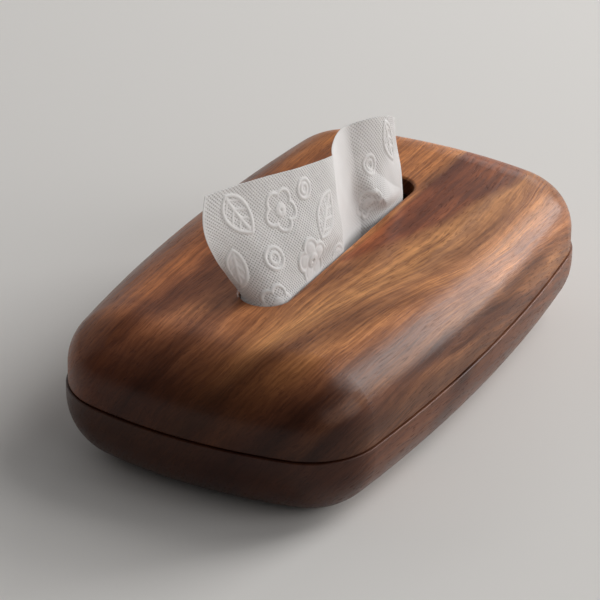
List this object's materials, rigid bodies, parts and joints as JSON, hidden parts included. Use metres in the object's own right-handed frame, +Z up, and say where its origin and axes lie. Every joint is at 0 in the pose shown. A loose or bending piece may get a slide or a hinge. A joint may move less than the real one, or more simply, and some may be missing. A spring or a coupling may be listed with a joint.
{
  "type": "wooden tissue box",
  "caption": "Low wooden tissue box: a bowed, rounded lid with a long slot closes a shallow tray, and a tissue stands up through the slot.",
  "frame": {"origin": "middle of the tray's flat foot, on the surface that the box stands on", "axes": "+Z up, +X along the box's length and its slot, +Y across it"},
  "size_m": [0.238, 0.142, 0.1123],
  "materials": {
    "lid_wood": "satin lacquer",
    "tray_wood": "satin lacquer",
    "magnet": "nickel plate",
    "tissue": "embossed paper"
  },
  "bodies": {
    "base": {"base_tray": "tray_wood", "tray_magnet_1": "magnet", "tray_magnet_2": "magnet", "tray_magnet_3": "magnet", "tray_magnet_4": "magnet", "tissue_block": "tissue"},
    "lid": {"lid_shell": "lid_wood", "lid_magnet_1": "magnet", "lid_magnet_2": "magnet", "lid_magnet_3": "magnet", "lid_magnet_4": "magnet", "standing_tissue": "tissue"}
  },
  "joints": [
    {"name": "lid_lift", "type": "slide", "parent": "base", "child": "lid", "axis": [0, 0, 1], "range_m": [0, 0.08]}
  ]
}
